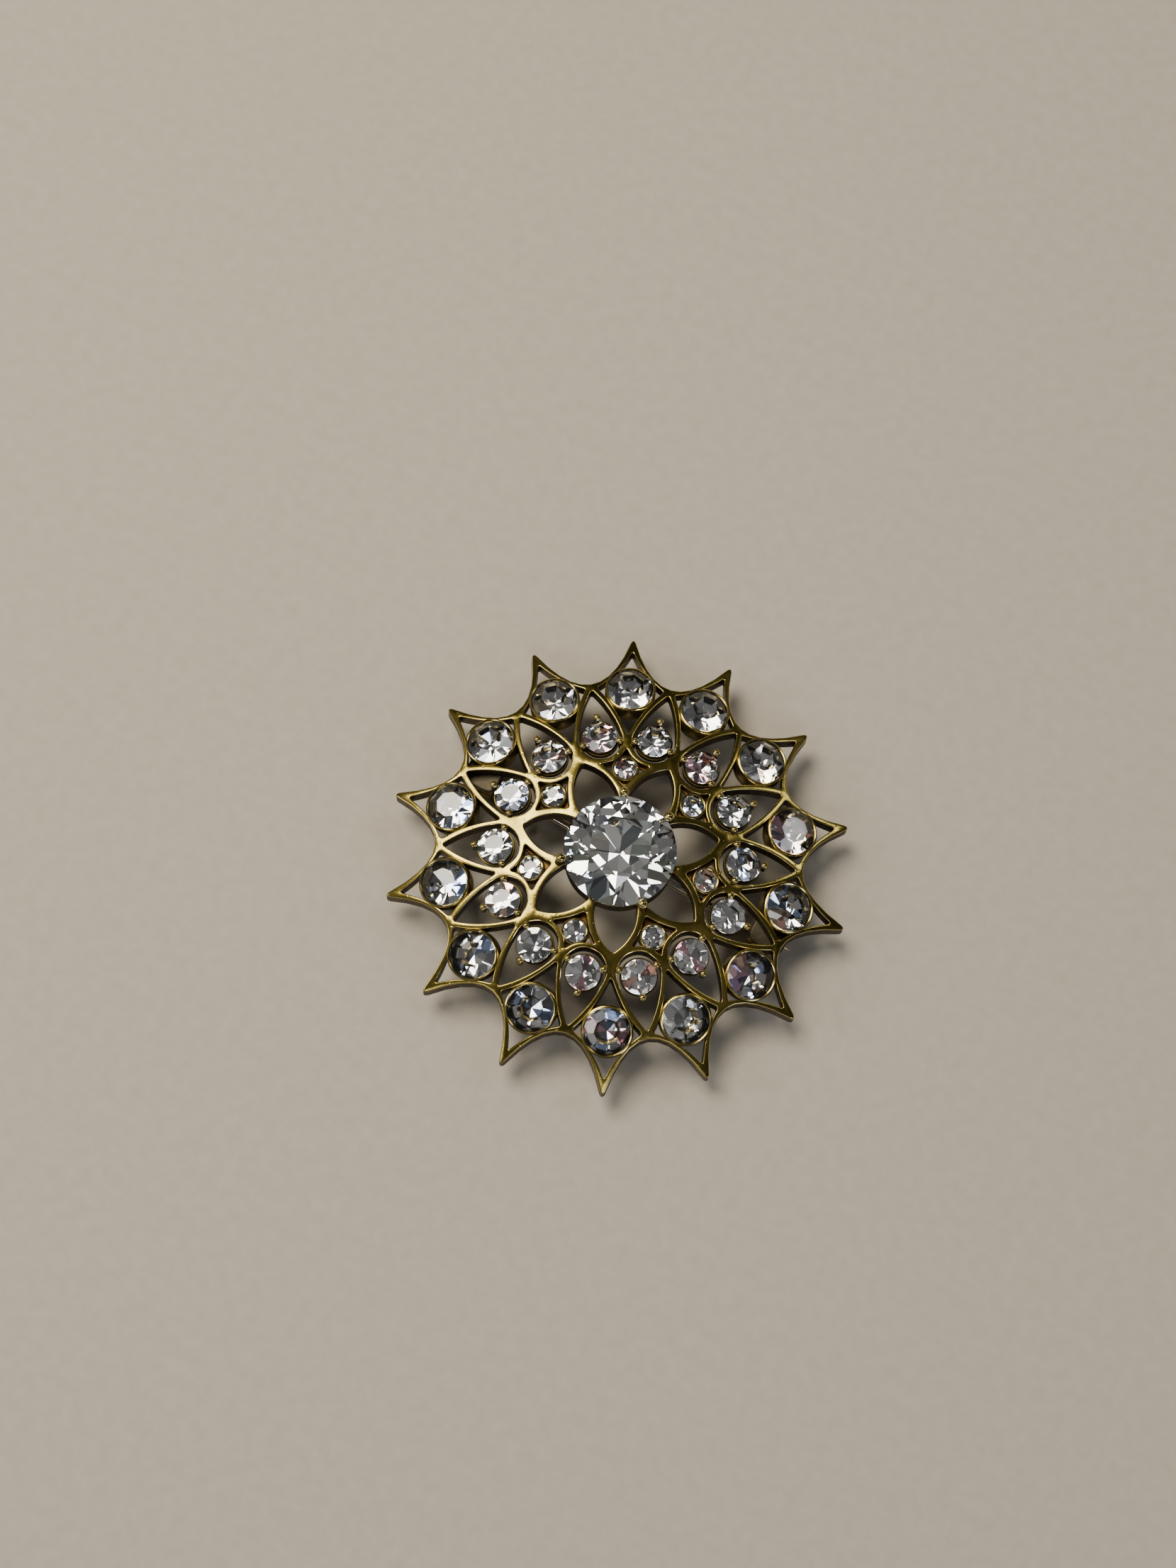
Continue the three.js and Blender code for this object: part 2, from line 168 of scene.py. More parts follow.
def inner_petal():
    ring = 4.9
    half_angle = math.radians(22.3)
    x, y = ring * math.cos(half_angle), ring * math.sin(half_angle)
    return rounded_outline(
        [
            ((x, y), 0.22, (ring / math.cos(half_angle), 0)),
            ((x, -y), 0.22, (7.33, -2.23)),
            ((8.99, 0), 0.25, (7.33, 2.23)),
        ]
    )


def swung(points, angle):
    return [Matrix.Rotation(angle, 2) @ point for point in points]


def grown(points, distance):
    """A counterclockwise outline, moved outwards everywhere by a distance."""
    moved = []
    for i, point in enumerate(points):
        along = (points[(i + 1) % len(points)] - points[i - 1]).normalized()
        moved.append(point + Vector((along.y, -along.x)) * distance)
    return moved


def pierced_sheet(outline, openings):
    bm = bmesh.new()
    for points in [outline] + openings:
        verts = [bm.verts.new((x, y, 0)) for x, y in points]
        for a, b in zip(verts, verts[1:] + verts[:1]):
            bm.edges.new((a, b))
    bmesh.ops.triangle_fill(bm, use_beauty=True, edges=bm.edges[:], normal=(0, 0, 1))
    return bm


def raise_sheet(bm, depth, draft, rounding, rounding_steps=4, back=True):
    """Lifts a sheet on walls that lean in by the draft, rounds its top edge, and leaves it a flat back."""
    top = bm.faces[:]
    if back:
        copy = bmesh.ops.duplicate(bm, geom=bm.verts[:] + bm.edges[:] + top)
        bmesh.ops.reverse_faces(bm, faces=[g for g in copy["geom"] if isinstance(g, bmesh.types.BMFace)])
    steps = [(draft, depth - rounding)]
    turns = [math.pi / 2 * i / rounding_steps for i in range(rounding_steps + 1)]
    for a, b in zip(turns, turns[1:]):
        steps.append((rounding * (math.cos(a) - math.cos(b)), rounding * (math.sin(b) - math.sin(a))))
    even = {"use_even_offset": True, "use_boundary": True}
    for inwards, up in steps:
        bmesh.ops.inset_region(bm, faces=top, thickness=inwards, depth=up, **even)
    bmesh.ops.remove_doubles(bm, verts=bm.verts[:], dist=1e-4)


def bend_to_dome(bm, lift=0):
    for vert in bm.verts:
        vert.co.z += dome_height(vert.co.x, vert.co.y) + lift


def add_node(tree, kind, settings=None, inputs=None):
    """Adds a node. Settings are its own options; inputs are its sockets' values, or what links to them."""
    node = tree.nodes.new("ShaderNode" + kind)
    for name, value in (settings or {}).items():
        setattr(node, name, value)
    for name, value in (inputs or {}).items():
        if isinstance(value, bpy.types.NodeSocket):
            tree.links.new(value, node.inputs[name])
        else:
            node.inputs[name].default_value = value
    return node


def from_hex(code):
    """An sRGB colour such as "a8935a" as the linear colour that shaders take."""
    channels = [int(code[i : i + 2], 16) / 255 for i in (0, 2, 4)]
    linear = [c / 12.92 if c <= 0.04045 else ((c + 0.055) / 1.055) ** 2.4 for c in channels]
    return (*linear, 1)


MIX_A, MIX_B, MIX_RESULT = 6, 7, 2


def new_material(name):
    material = bpy.data.materials.new(name)
    material.use_nodes = True
    material.node_tree.nodes.clear()
    return material


# Gold plate over cast white metal, darkened with a patina: olive on the flats, brown in the recesses, with
# casting pits that the plating doesn't fill. The walls are darkened partly by patina and partly by painted
# shade, and the rounded edges are warm and pale, partly where they are rubbed and partly a painted
# highlight.
def antique_gold(name, patina_and_shade_share):
    material = new_material(name)
    tree = material.node_tree
    place = add_node(tree, "TexCoord").outputs
    open_air = add_node(tree, "AmbientOcclusion", {"samples": 6}, {"Distance": 1.3 * MM}).outputs["AO"]
    recess = add_node(
        tree, "MapRange", None, {"Value": open_air, "From Min": 0.75, "From Max": 0.3}
    ).outputs["Result"]
    up = add_node(tree, "SeparateXYZ", None, {"Vector": place["Normal"]}).outputs["Z"]
    # Painted shade: faces that turn sideways, the walls, take the dark patina colour, partly for real patina
    # and partly for the shade they stand in.
    wall = add_node(
        tree, "MapRange", None, {"Value": up, "From Min": 0.75, "From Max": 0.1}
    ).outputs["Result"]
    clouds = {"Vector": place["Object"], "Scale": 1 / (2.2 * MM), "Detail": 5, "Roughness": 0.6}
    mottle = add_node(tree, "TexNoise", None, clouds).outputs["Fac"]
    grain = add_node(
        tree, "TexNoise", None, {"Vector": place["Object"], "Scale": 1 / (0.22 * MM), "Detail": 3}
    ).outputs["Fac"]
    cloudy = add_node(
        tree, "MapRange", None, {"Value": mottle, "From Min": 0.35, "From Max": 0.68}
    ).outputs["Result"]
    plate = add_node(
        tree,
        "Mix",
        {"data_type": "RGBA"},
        {"Factor": cloudy, MIX_A: from_hex("87783b"), MIX_B: from_hex("584e24")},
    ).outputs[MIX_RESULT]
    # Recesses carry real patina; the walls add painted shade to the same dark mix.
    hollow_patina_and_wall_shade = add_node(tree, "Math", {"operation": "MAXIMUM"}, {0: recess, 1: wall}).outputs[0]
    patina_and_shade_amount = add_node(tree, "Math", {"operation": "MULTIPLY"}, {0: hollow_patina_and_wall_shade, 1: patina_and_shade_share}).outputs[0]
    speckle = {"Value": grain, "From Min": 0.3, "From Max": 0.7, "To Min": 0.75, "To Max": 1.15}
    speckled = add_node(tree, "MapRange", None, speckle).outputs["Result"]
    patina = add_node(
        tree, "Math", {"operation": "MULTIPLY", "use_clamp": True}, {0: patina_and_shade_amount, 1: speckled}
    ).outputs[0]
    colour = add_node(
        tree,
        "Mix",
        {"data_type": "RGBA"},
        {"Factor": patina, MIX_A: plate, MIX_B: from_hex("2c1c0c")},
    ).outputs[MIX_RESULT]
    # Painted highlight: the rounded band between wall and top is mixed to pale gold all round, partly rubbed
    # wear and partly a painted highlight.
    above_wall = add_node(
        tree, "MapRange", None, {"Value": up, "From Min": 0.15, "From Max": 0.5}
    ).outputs["Result"]
    below_top = add_node(
        tree, "MapRange", None, {"Value": up, "From Min": 0.93, "From Max": 0.8, "To Max": 0.75}
    ).outputs["Result"]
    rubbed = add_node(tree, "Math", {"operation": "MULTIPLY"}, {0: above_wall, 1: below_top}).outputs[0]
    finish_with_painted_light = add_node(
        tree,
        "Mix",
        {"data_type": "RGBA"},
        {"Factor": rubbed, MIX_A: colour, MIX_B: from_hex("e9d595")},
    ).outputs[MIX_RESULT]
    roughness = add_node(
        tree, "MapRange", None, {"Value": patina, "To Min": 0.15, "To Max": 0.48}
    ).outputs["Result"]
    brushed = add_node(
        tree, "MapRange", None, {"Value": mottle, "To Min": -0.05, "To Max": 0.08}
    ).outputs["Result"]
    satin = add_node(tree, "Math", {"operation": "ADD"}, {0: roughness, 1: brushed}).outputs[0]
    pits = add_node(
        tree, "TexVoronoi", None, {"Vector": place["Object"], "Scale": 1 / (0.7 * MM), "Randomness": 1}
    ).outputs["Distance"]
    pit = add_node(
        tree, "MapRange", None, {"Value": pits, "From Min": 0.05, "From Max": 0.16}
    ).outputs["Result"]
    relief = add_node(tree, "Math", {"operation": "MULTIPLY_ADD"}, {0: grain, 1: 0.35, 2: pit}).outputs[0]
    bump = add_node(
        tree, "Bump", None, {"Height": relief, "Strength": 0.35, "Distance": 0.03 * MM}
    ).outputs["Normal"]
    shader = add_node(
        tree,
        "BsdfPrincipled",
        None,
        {"Base Color": finish_with_painted_light, "Metallic": 1, "Roughness": satin, "Normal": bump},
    ).outputs["BSDF"]
    add_node(tree, "OutputMaterial", None, {"Surface": shader})
    return material


def make_piece(name, bm, materials, body, nodes=(), smooth_angle=35):
    """Takes a mesh drawn in millimetres to an object at the origin that rides on a body."""
    bmesh.ops.scale(bm, vec=(MM, MM, MM), verts=bm.verts[:])
    mesh = bpy.data.meshes.new(name)
    bm.to_mesh(mesh)
    bm.free()
    for material in materials:
        mesh.materials.append(material)
    if smooth_angle:
        mesh.shade_smooth()
        mesh.set_sharp_from_angle(angle=math.radians(smooth_angle))
    piece = bpy.data.objects.new(name, mesh)
    bpy.context.scene.collection.objects.link(piece)
    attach(piece, body)
    if nodes:
        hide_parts(*nodes)
    return piece


def star_outline():
    corners = []
    for i in range(TIPS):
        turn = Matrix.Rotation(TOP + i * STEP, 2)
        for place, cut, control in star_tip():
            corners.append((turn @ Vector(place), cut, turn @ Vector(control)))
    return rounded_outline(corners)


openings = [rounded_outline(arc(0, SEAT_HOLE_RADIUS, 0, 2 * math.pi, 8))]
for i in range(TIPS):
    tip = TOP + i * STEP
    openings.append(swung(outer_cell(), tip))
    openings.append(swung(petal(), tip + STEP / 2))
    openings.append(swung(kite() if i % 2 else inner_petal(), tip))
ribs = pierced_sheet(
    grown(star_outline(), RIB_DRAFT),
    [grown(opening, -RIB_DRAFT) for opening in openings],
)
raise_sheet(ribs, RIB_DEPTH, RIB_DRAFT, RIB_ROUNDING)
bend_to_dome(ribs, -RIB_DEPTH)
rib_gold = antique_gold("antique_gold_plate", 0.9)
rib_lattice = make_piece("rib_lattice", ribs, [rib_gold], "brooch", ["openwork_frame"])
flat_tops = rib_lattice.modifiers.new("flat_tops", "WEIGHTED_NORMAL")
flat_tops.keep_sharp = True


# The gallery: the thin raised ring, cast with the ribs, that the centre stone's pavilion rests on. Its
# seat is cut at the stone's own angle with a bearing burr.
def turned(profile, steps):
    """A closed body turned about the third axis from its half section."""
    bm = bmesh.new()
    verts = [bm.verts.new((r, 0, z)) for r, z in profile]
    closed = profile[0][0] > 0
    pairs = zip(verts, verts[1:] + verts[:1]) if closed else zip(verts, verts[1:])
    edges = [bm.edges.new(pair) for pair in pairs]
    axis = {"cent": (0, 0, 0), "axis": (0, 0, 1)}
    bmesh.ops.spin(bm, geom=verts + edges, angle=2 * math.pi, steps=steps, use_merge=True, **axis)
    bmesh.ops.remove_doubles(bm, verts=bm.verts[:], dist=1e-4)
    bmesh.ops.recalc_face_normals(bm, faces=bm.faces[:])
    return bm


def join(whole, part, *places):
    """Adds a copy of a part to a whole at each place."""
    mesh = bpy.data.meshes.new("part")
    part.to_mesh(mesh)
    part.free()
    for place in places:
        known = len(whole.verts)
        whole.from_mesh(mesh)
        whole.verts.ensure_lookup_table()
        bmesh.ops.transform(whole, matrix=place, verts=whole.verts[known:])
    bpy.data.meshes.remove(mesh)


gallery = bmesh.new()
gallery_profile = [
    (4.42, -1.9),
    (4.8, -1.9),
    (4.86, -0.52),
    (4.82, -0.42),
    (4.74, -0.4),
    (4.4, -0.72),
]
join(gallery, turned(gallery_profile, steps=96), Matrix.Translation((0, 0, GIRDLE_HEIGHT)))
make_piece("centre_gallery", gallery, [rib_gold], "brooch")


# The webs: thin floors across the small kites, left rough from the casting and stained reddish brown where
# the patina stays wet. Each has a bore for its stone's point and two small drain holes beside it.
SMALL_RING = 8
WEB_DEPTH = 0.4
WEB_LIFT = 0.1 - RIB_DEPTH
WEB_SPREAD = 1.08
WEB_BORE_RADIUS = 0.6


def stained_metal(name):
    """Unpolished casting under a patina that has pooled: dull, in blotches of red-brown and brass."""
    material = new_material(name)
    tree = material.node_tree
    place = add_node(tree, "TexCoord").outputs["Object"]
    stain = add_node(
        tree, "TexNoise", None, {"Vector": place, "Scale": 1 / (0.6 * MM), "Detail": 6, "Roughness": 0.65}
    ).outputs["Fac"]
    spread = add_node(
        tree, "MapRange", None, {"Value": stain, "From Min": 0.35, "From Max": 0.65}
    ).outputs["Result"]
    colour = add_node(
        tree,
        "Mix",
        {"data_type": "RGBA"},
        {"Factor": spread, MIX_A: from_hex("6a3c20"), MIX_B: from_hex("857040")},
    ).outputs[MIX_RESULT]
    roughness = add_node(
        tree, "MapRange", None, {"Value": stain, "To Min": 0.38, "To Max": 0.66}
    ).outputs["Result"]
    bump = add_node(
        tree, "Bump", None, {"Height": stain, "Strength": 0.5, "Distance": 0.05 * MM}
    ).outputs["Normal"]
    shader = add_node(
        tree,
        "BsdfPrincipled",
        None,
        {"Base Color": colour, "Metallic": 1, "Roughness": roughness, "Normal": bump},
    ).outputs["BSDF"]
    add_node(tree, "OutputMaterial", None, {"Surface": shader})
    return material


def straight_outline(points, cut):
    """A counterclockwise outline of straight sides with rounded corners."""
    corners = [Vector(point) for point in points]
    sides = zip(corners, corners[1:] + corners[:1])
    return rounded_outline([(start, cut, (start + end) / 2) for start, end in sides])


def drain_hole(side):
    points = [(7.66, 1.28), (8.3, 1.24), (8.14, 1.86)]
    if side < 0:
        points = [(x, -y) for x, y in reversed(points)]
    return straight_outline(points, cut=0.16)


webs = bmesh.new()
for i in range(1, TIPS, 2):
    tip = TOP + i * STEP
    bore = rounded_outline(arc(SMALL_RING, WEB_BORE_RADIUS, 0, 2 * math.pi, pieces=4))
    holes = [bore, drain_hole(1), drain_hole(-1)]
    web = pierced_sheet(swung(kite(WEB_SPREAD), tip), [swung(hole, tip) for hole in holes])
    raise_sheet(web, WEB_DEPTH, draft=0, rounding=0.06, rounding_steps=2)
    join(webs, web, Matrix.Identity(4))
bend_to_dome(webs, WEB_LIFT)
web_metal = stained_metal("stained_casting")
make_piece("kite_webs", webs, [web_metal], "brooch")


# The cups: each outer stone is glued into a plain closed-back cup, and each small one into a short tube on
# its web. Their thin rims were pushed over the stone's edge and rubbed bright, and their material paints a
# highlight along them as well.
OUTER = {"radius": 2.05, "ring": 15.75, "rise": 0.1, "pavilion": 1.52}
MEDIUM = {"radius": 1.55, "ring": 11.1, "rise": -0.2, "pavilion": 1.35}
SMALL = {"radius": 0.98, "ring": SMALL_RING, "rise": -0.45, "pavilion": 0.85}
CUP_CLEARANCE = 0.05


def setting(kind, angle):
    """Where a stone sits: its girdle's centre, square to the dome."""
    x, y = kind["ring"] * math.cos(angle), kind["ring"] * math.sin(angle)
    return (
        Matrix.Translation((x, y, dome_height(x, y) + kind["rise"]))
        @ Matrix.Rotation(angle, 4, "Z")
        @ Matrix.Rotation(math.asin(kind["ring"] / DOME_RADIUS), 4, "Y")
    )


def outer_cup():
    bore = OUTER["radius"] + CUP_CLEARANCE
    floor = -1.6
    base = -1.68
    return turned(
        [
            (0, base),
            (bore + 0.14, base),
            (bore + 0.2, floor),
            (bore + 0.22, -0.02),
            (bore + 0.16, 0.08),
            (bore + 0.07, 0.12),
            (bore - 0.02, 0.07),
            (bore, -0.1),
            (bore * 0.3, floor),
            (0, floor),
        ],
        steps=56,
    )


def small_cup():
    bore = SMALL["radius"] + CUP_CLEARANCE
    base = -0.8
    return turned(
        [
            (bore, base),
            (bore + 0.2, base),
            (bore + 0.2, 0),
            (bore + 0.15, 0.07),
            (bore + 0.07, 0.1),
            (bore - 0.02, 0.06),
            (bore, -0.05),
            (bore * 0.6, -0.45),
            (bore * 0.66, base),
        ],
        steps=40,
    )


tips = [TOP - i * STEP for i in range(TIPS)]
cups = bmesh.new()
join(cups, outer_cup(), *[setting(OUTER, tip) for tip in tips])
cup_gold = antique_gold("antique_gold_cups", 0.75)
make_piece("outer_cups", cups, [cup_gold], "brooch")
small_cups = bmesh.new()
join(small_cups, small_cup(), *[setting(SMALL, tip) for tip in tips[1::2]])
make_piece("small_cups", small_cups, [cup_gold], "brooch")


# The collars and claws: a thin ring under each middle stone carries three short posts. Their heads were
# melted into balls and burnished down onto the stone, one outside it and two towards the centre.
CLAW_DISTANCE = 1.88
CLAW_LEAN = math.radians(-7)
CLAW_TURNS = [math.radians(turn) for turn in (0, 116, -116)]


def collar():
    return turned(
        [
            (1.1, -0.95),
            (1.66, -0.95),
            (1.7, -0.9),
            (1.7, -0.52),
            (1.64, -0.45),
            (1.54, -0.45),
            (1.2, -0.68),
        ],
        steps=44,
    )


def ball_claw(ball_radius, post_radius, ball_height, foot):
    """A post under a slightly flattened ball."""
    neck = math.asin(post_radius / ball_radius)
    half_height = 0.9 * ball_radius
    profile = [(0, foot), (post_radius * 1.15, foot), (post_radius, foot + 0.3)]
    ball_steps = 9
    for i in range(ball_steps + 1):
        turn = neck + (math.pi - neck) * i / ball_steps
        profile.append((ball_radius * math.sin(turn), ball_height - half_height * math.cos(turn)))
    profile[-1] = (0, ball_height + half_height)
    return turned(profile, steps=20)


def claw_places(kind, angle):
    place = setting(kind, angle)
    return [
        place
        @ Matrix.Rotation(turn, 4, "Z")
        @ Matrix.Translation((CLAW_DISTANCE, 0, 0))
        @ Matrix.Rotation(CLAW_LEAN, 4, "Y")
        for turn in CLAW_TURNS
    ]


notches = [tip - STEP / 2 for tip in tips]
collars = bmesh.new()
join(collars, collar(), *[setting(MEDIUM, notch) for notch in notches])
make_piece("petal_collars", collars, [cup_gold], "brooch")
claws = bmesh.new()
places = [place for notch in notches for place in claw_places(MEDIUM, notch)]
join(claws, ball_claw(ball_radius=0.33, post_radius=0.22, ball_height=0.38, foot=-0.95), *places)
claw_gold = antique_gold("antique_gold_claws", 0.6)
make_piece("petal_claws", claws, [claw_gold], "brooch")


# The centre stone's four claws: heavier balls on posts that rise from the ribs between two inner petals.
CENTRE_CLAWS = (1, 5, 9, 13)
CENTRE_CLAW_DISTANCE = CENTRE_RADIUS + 0.36
CENTRE_CLAW_LEAN = math.radians(-10)
centre_claws = bmesh.new()
centre_places = [
    Matrix.Rotation(TOP + i * STEP, 4, "Z")
    @ Matrix.Translation((CENTRE_CLAW_DISTANCE, 0, GIRDLE_HEIGHT))
    @ Matrix.Rotation(CENTRE_CLAW_LEAN, 4, "Y")
    for i in CENTRE_CLAWS
]
centre_claw = ball_claw(ball_radius=0.46, post_radius=0.33, ball_height=0.5, foot=-1.3)
join(centre_claws, centre_claw, *centre_places)
make_piece("centre_claws", centre_claws, [claw_gold], "brooch")


# The stones. The centre one is a colourless round brilliant of cubic zirconia; the others are machine-cut
# glass chatons with silvered backs. Each is ground from a round blank, facet by facet, on a wheel.
RIM_SHARE = 0.02
CROWN_HALVES_STEEPER = math.radians(6)
PAVILION_HALVES_STEEPER = math.radians(1.1)
STAR_TILT = math.radians(21)
FOILED_BELOW = -0.2


def cut_facet(bm, tilt, azimuth, point):
    """Grinds away what lies outside a plane through a point."""
    slope = Vector((math.sin(tilt) * math.cos(azimuth), math.sin(tilt) * math.sin(azimuth), math.cos(tilt)))
    whole = bm.verts[:] + bm.edges[:] + bm.faces[:]
    bmesh.ops.bisect_plane(bm, geom=whole, dist=1e-5, plane_co=point, plane_no=slope, clear_outer=True)
    bmesh.ops.holes_fill(bm, edges=[edge for edge in bm.edges if edge.is_boundary])


def cut_side(bm, radius, mains, rim, main_tilt, half_tilt, side):
    """The main facets of a crown (side 1) or a pavilion (side -1), and any halves at the girdle."""
    cuts = [(0, main_tilt)]
    if half_tilt:
        cuts += [(-0.25, half_tilt), (0.25, half_tilt)]
    for i in range(mains):
        azimuth = 2 * math.pi * i / mains
        for turn, tilt in cuts:
            facing = azimuth + turn * 2 * math.pi / mains
            edge = Vector((radius * math.cos(facing), radius * math.sin(facing), side * rim))
            cut_facet(bm, tilt if side > 0 else math.pi - tilt, facing, edge)


def cut_stone(radius, mains, table_share, crown_tilt, pavilion_tilt, full_cut):
    """A round stone about its girdle, with halves on its crown. A full cut has them on its pavilion too,
    and stars round its table."""
    rim = RIM_SHARE * radius
    bm = bmesh.new()
    size = {"segments": 64, "radius1": radius, "radius2": radius, "depth": 3 * radius}
    bmesh.ops.create_cone(bm, cap_ends=True, **size)
    table_height = rim + (1 - table_share) * radius * math.tan(crown_tilt)
    cut_side(bm, radius, mains, rim, crown_tilt, crown_tilt + CROWN_HALVES_STEEPER, side=1)
    pavilion_halves = pavilion_tilt + PAVILION_HALVES_STEEPER if full_cut else None
    cut_side(bm, radius, mains, rim, pavilion_tilt, pavilion_halves, side=-1)
    cut_facet(bm, 0, 0, Vector((0, 0, table_height)))
    if full_cut:
        for i in range(mains):
            azimuth = 2 * math.pi * (i + 0.5) / mains
            reach = table_share * radius * math.cos(math.pi / mains)
            edge = Vector((reach * math.cos(azimuth), reach * math.sin(azimuth), table_height))
            cut_facet(bm, STAR_TILT, azimuth, edge)
    bmesh.ops.recalc_face_normals(bm, faces=bm.faces[:])
    return bm


def tint_facets(bm, chance, hues, strength, painted_shade_spread, seed):
    """Paints spectral colour on some facets for dispersed light, and painted shade on each facet at random.
    """
    draw = random.Random(seed)
    layer = bm.loops.layers.float_color.new("painted_fire")
    for face in sorted(bm.faces, key=lambda f: tuple(round(c, 4) for c in f.calc_center_median())):
        shade = 1 - painted_shade_spread * draw.random()
        colour = Vector((shade, shade, shade))
        if draw.random() < chance:
            colour = colour.lerp(Vector(from_hex(draw.choice(hues))[:3]), strength)
        for loop in face.loops:
            loop[layer] = (*colour, 1)


def clear_stone(name, ior, painted_fire):
    """Polished clear stone, with a faint smear of handling in places. It may take its colour from the
    facets' painted spectral tints.
    """
    material = new_material(name)
    tree = material.node_tree
    place = add_node(tree, "TexCoord").outputs["Object"]
    handled = add_node(
        tree, "TexNoise", None, {"Vector": place, "Scale": 1 / (1.2 * MM), "Detail": 4}
    ).outputs["Fac"]
    smear = add_node(
        tree, "MapRange", None, {"Value": handled, "From Min": 0.52, "From Max": 0.75, "To Max": 0.05}
    ).outputs["Result"]
    inputs = {"Base Color": from_hex("fbfcff"), "Roughness": smear, "IOR": ior, "Transmission Weight": 1}
    if painted_fire:
        inputs["Base Color"] = add_node(tree, "VertexColor", {"layer_name": "painted_fire"}).outputs["Color"]
    shader = add_node(tree, "BsdfPrincipled", None, inputs).outputs["BSDF"]
    add_node(tree, "OutputMaterial", None, {"Surface": shader})
    return material


def silver_foil(name):
    """Silvering on the back of a stone, slightly uneven under its lacquer, coloured by each facet's painted
    spectral tint and painted shade.
    """
    material = new_material(name)
    tree = material.node_tree
    place = add_node(tree, "TexCoord").outputs["Object"]
    lacquer = add_node(
        tree, "TexNoise", None, {"Vector": place, "Scale": 1 / (0.4 * MM), "Detail": 3}
    ).outputs["Fac"]
    uneven = add_node(
        tree, "MapRange", None, {"Value": lacquer, "To Min": 0.02, "To Max": 0.1}
    ).outputs["Result"]
    painted_fire = add_node(tree, "VertexColor", {"layer_name": "painted_fire"}).outputs["Color"]
    inputs = {"Base Color": painted_fire, "Metallic": 1, "Roughness": uneven}
    shader = add_node(tree, "BsdfPrincipled", None, inputs).outputs["BSDF"]
    add_node(tree, "OutputMaterial", None, {"Surface": shader})
    return material


BRILLIANT_PAINTED_FIRE = ("5fd8f0", "4f7cff", "8f9cff", "8fe8a8", "e8e070")
zirconia = clear_stone("cubic_zirconia", ior=2.15, painted_fire=True)
brilliant = cut_stone(
    CENTRE_RADIUS,
    mains=8,
    table_share=0.57,
    crown_tilt=math.radians(34.5),
    pavilion_tilt=math.radians(40.8),
    full_cut=True,
)
# Painted dispersion: about a fifth of the brilliant's facets carry a spectral tint in their colour.
tint_facets(brilliant, 0.22, BRILLIANT_PAINTED_FIRE, strength=0.35, painted_shade_spread=0, seed=3)
bmesh.ops.translate(brilliant, vec=(0, 0, GIRDLE_HEIGHT), verts=brilliant.verts[:])
make_piece(
    "centre_brilliant",
    brilliant,
    [zirconia],
    "brooch",
    ["centre_stone"],
    smooth_angle=0,
)

crystal = clear_stone("lead_crystal", ior=1.58, painted_fire=False)
foil = silver_foil("silver_foil")
CHATON_PAINTED_FIRE = ("ffb08a", "ff9fb8", "8fb8ff", "ffe0a0")


def set_chaton(kind, size, i, angle, mains, first_seed):
    """Cuts, foils and sets one chaton, with painted spectral tints and painted shade on its foil facets and
    a turn in its setting of its own.
    """
    number = f"{i + 1:02d}"
    seed = first_seed + i
    pavilion_tilt = math.atan(kind["pavilion"] / kind["radius"])
    bm = cut_stone(
        kind["radius"],
        mains,
        table_share=0.54,
        crown_tilt=math.radians(33),
        pavilion_tilt=pavilion_tilt,
        full_cut=False,
    )
    # Painted dispersion and painted shade: some foil facets carry a spectral tint, and all are darkened at
    # random.
    tint_facets(bm, 0.12, CHATON_PAINTED_FIRE, strength=0.6, painted_shade_spread=0.35, seed=seed)
    for face in bm.faces:
        face.material_index = 1 if face.normal.z < FOILED_BELOW else 0
    turn = random.Random(seed).random() * 2 * math.pi
    place = setting(kind, angle) @ Matrix.Rotation(turn, 4, "Z")
    bmesh.ops.transform(bm, matrix=place, verts=bm.verts[:])
    make_piece(
        f"{size}_chaton_{number}",
        bm,
        [crystal, foil],
        "brooch",
        [f"{size}_stone_{number}"],
        smooth_angle=0,
    )


for i, tip in enumerate(tips):
    set_chaton(OUTER, "outer", i, tip, mains=8, first_seed=100)
    set_chaton(MEDIUM, "medium", i, tip - STEP / 2, mains=8, first_seed=200)
for i, tip in enumerate(tips[1::2]):
    set_chaton(SMALL, "small", i, tip, mains=6, first_seed=300)


# The hinge: two stamped brass cheeks under one pad, gilded thinly. The pad is bedded in soft solder on the
# frame's back, and the cheeks' flat feet are the lowest part of the brooch.
joints = {joint["name"]: Vector(joint["pos_m"]) / MM for joint in frame["joints"]}
HINGE = joints["pin_hinge"]
CATCH = joints["catch_turn"]
PAD_THICKNESS = 0.6
SOLDER_GAP = 0.08
CHEEK_THICKNESS = 0.8
CHEEK_OVERLAP = 0.1
EAR_GAP = 1
RIVET_RADIUS = 0.34
RIVET_PLAY = 0.05
STANDING = Matrix.Rotation(math.pi / 2, 4, "X")


def plate(outline, openings, thickness, edge):
    """A flat plate about the plane z = 0, with both its edges softened."""
    bm = pierced_sheet(outline, openings)
    raise_sheet(bm, thickness / 2, draft=0, rounding=edge, rounding_steps=3, back=False)
    bmesh.ops.mirror(bm, geom=bm.verts[:] + bm.edges[:] + bm.faces[:], axis="Z", merge_dist=1e-4)
    bmesh.ops.recalc_face_normals(bm, faces=bm.faces[:])
    return bm


